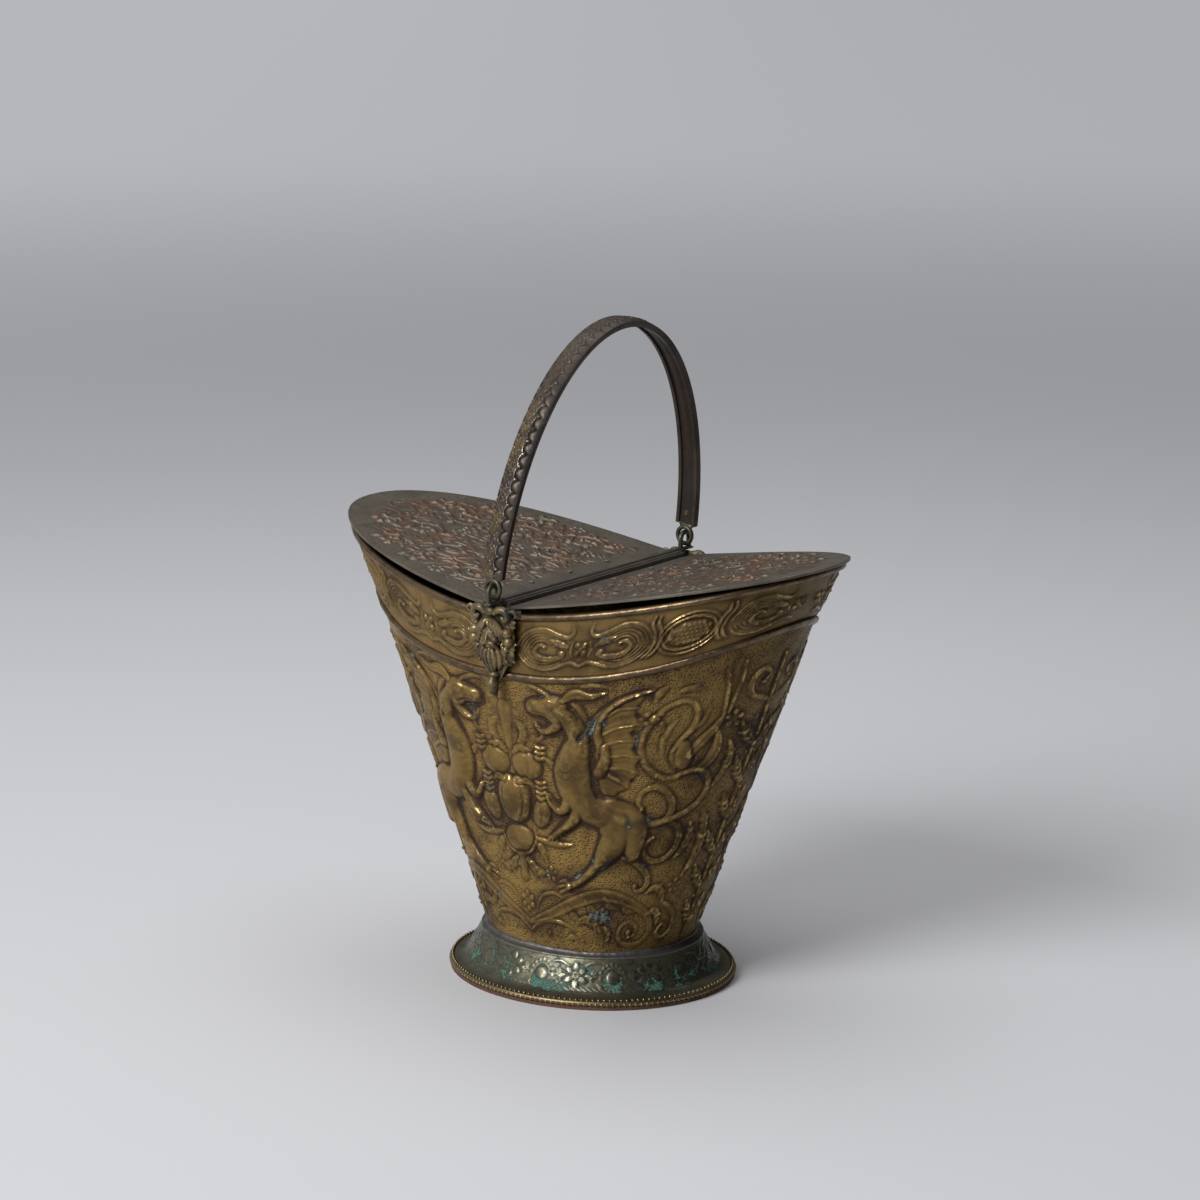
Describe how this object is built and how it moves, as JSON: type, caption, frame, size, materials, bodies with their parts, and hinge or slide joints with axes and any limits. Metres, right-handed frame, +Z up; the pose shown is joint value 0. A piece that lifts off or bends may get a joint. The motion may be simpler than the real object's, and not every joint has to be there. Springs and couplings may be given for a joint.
{
  "type": "coal scuttle",
  "caption": "Oval embossed brass coal scuttle on a spreading foot, with two hinged flap lids, a reeded cross bar, cast mask mounts and a swinging strap bail.",
  "frame": {"origin": "centre of the foot's outline, on the surface that the scuttle stands on", "axes": "+X from the middle to a lid's tip, +Y along the cross bar to the back mount, +Z up"},
  "size_m": [0.422, 0.25, 0.4932],
  "materials": {
    "embossed_brass": "olive gold patina, embossed and matted",
    "foot_brass": "dark olive patina with verdigris",
    "copper_trim": "worn brown patina, smooth",
    "solder": "dull grey solder",
    "dark_bronze": "dark brown patina, satin",
    "cast_brass": "cast, olive patina with bright high spots",
    "lid_copper": "grey-brown patina with red oxide",
    "iron": "rusty red-brown"
  },
  "bodies": {
    "bucket": {"foot_base_ring": "iron", "foot_beaded_edge": "foot_brass", "foot_skirt": "foot_brass", "neck_solder_ring": "solder", "bottom_plate": "foot_brass", "body_sheet_front": "embossed_brass", "body_sheet_back": "embossed_brass", "upper_band_front": "embossed_brass", "upper_band_back": "embossed_brass", "mid_bead": "copper_trim", "rim_wire": "copper_trim", "hinge_rail": "dark_bronze", "cross_bar_cap": "dark_bronze", "hinge_pin_left": "iron", "hinge_pin_right": "iron", "mount_front": "cast_brass", "mount_back": "cast_brass", "hook_front": "cast_brass", "hook_back": "cast_brass", "mount_rivets": "cast_brass"},
    "lid_left": {"lid_panel_left": "lid_copper", "lid_hinge_leaf_left": "dark_bronze", "lid_rivets_left": "cast_brass"},
    "lid_right": {"lid_panel_right": "lid_copper", "lid_hinge_leaf_right": "dark_bronze", "lid_rivets_right": "cast_brass"},
    "bail": {"bail_strap": "dark_bronze", "bail_inner_strip": "dark_bronze", "bail_eye_front": "cast_brass", "bail_eye_back": "cast_brass", "bail_rivets": "cast_brass"}
  },
  "joints": [
    {"name": "lid_left_hinge", "type": "hinge", "parent": "bucket", "child": "lid_left", "pos_m": [-0.0094, 0, 0.2944], "axis": [0, 1, 0], "range_deg": [0, 64]},
    {"name": "lid_right_hinge", "type": "hinge", "parent": "bucket", "child": "lid_right", "pos_m": [0.0094, 0, 0.2944], "axis": [0, -1, 0], "range_deg": [0, 64]},
    {"name": "bail_swing", "type": "hinge", "parent": "bucket", "child": "bail", "pos_m": [0, 0, 0.3103], "axis": [0, 1, 0], "range_deg": [-88, 72]}
  ]
}
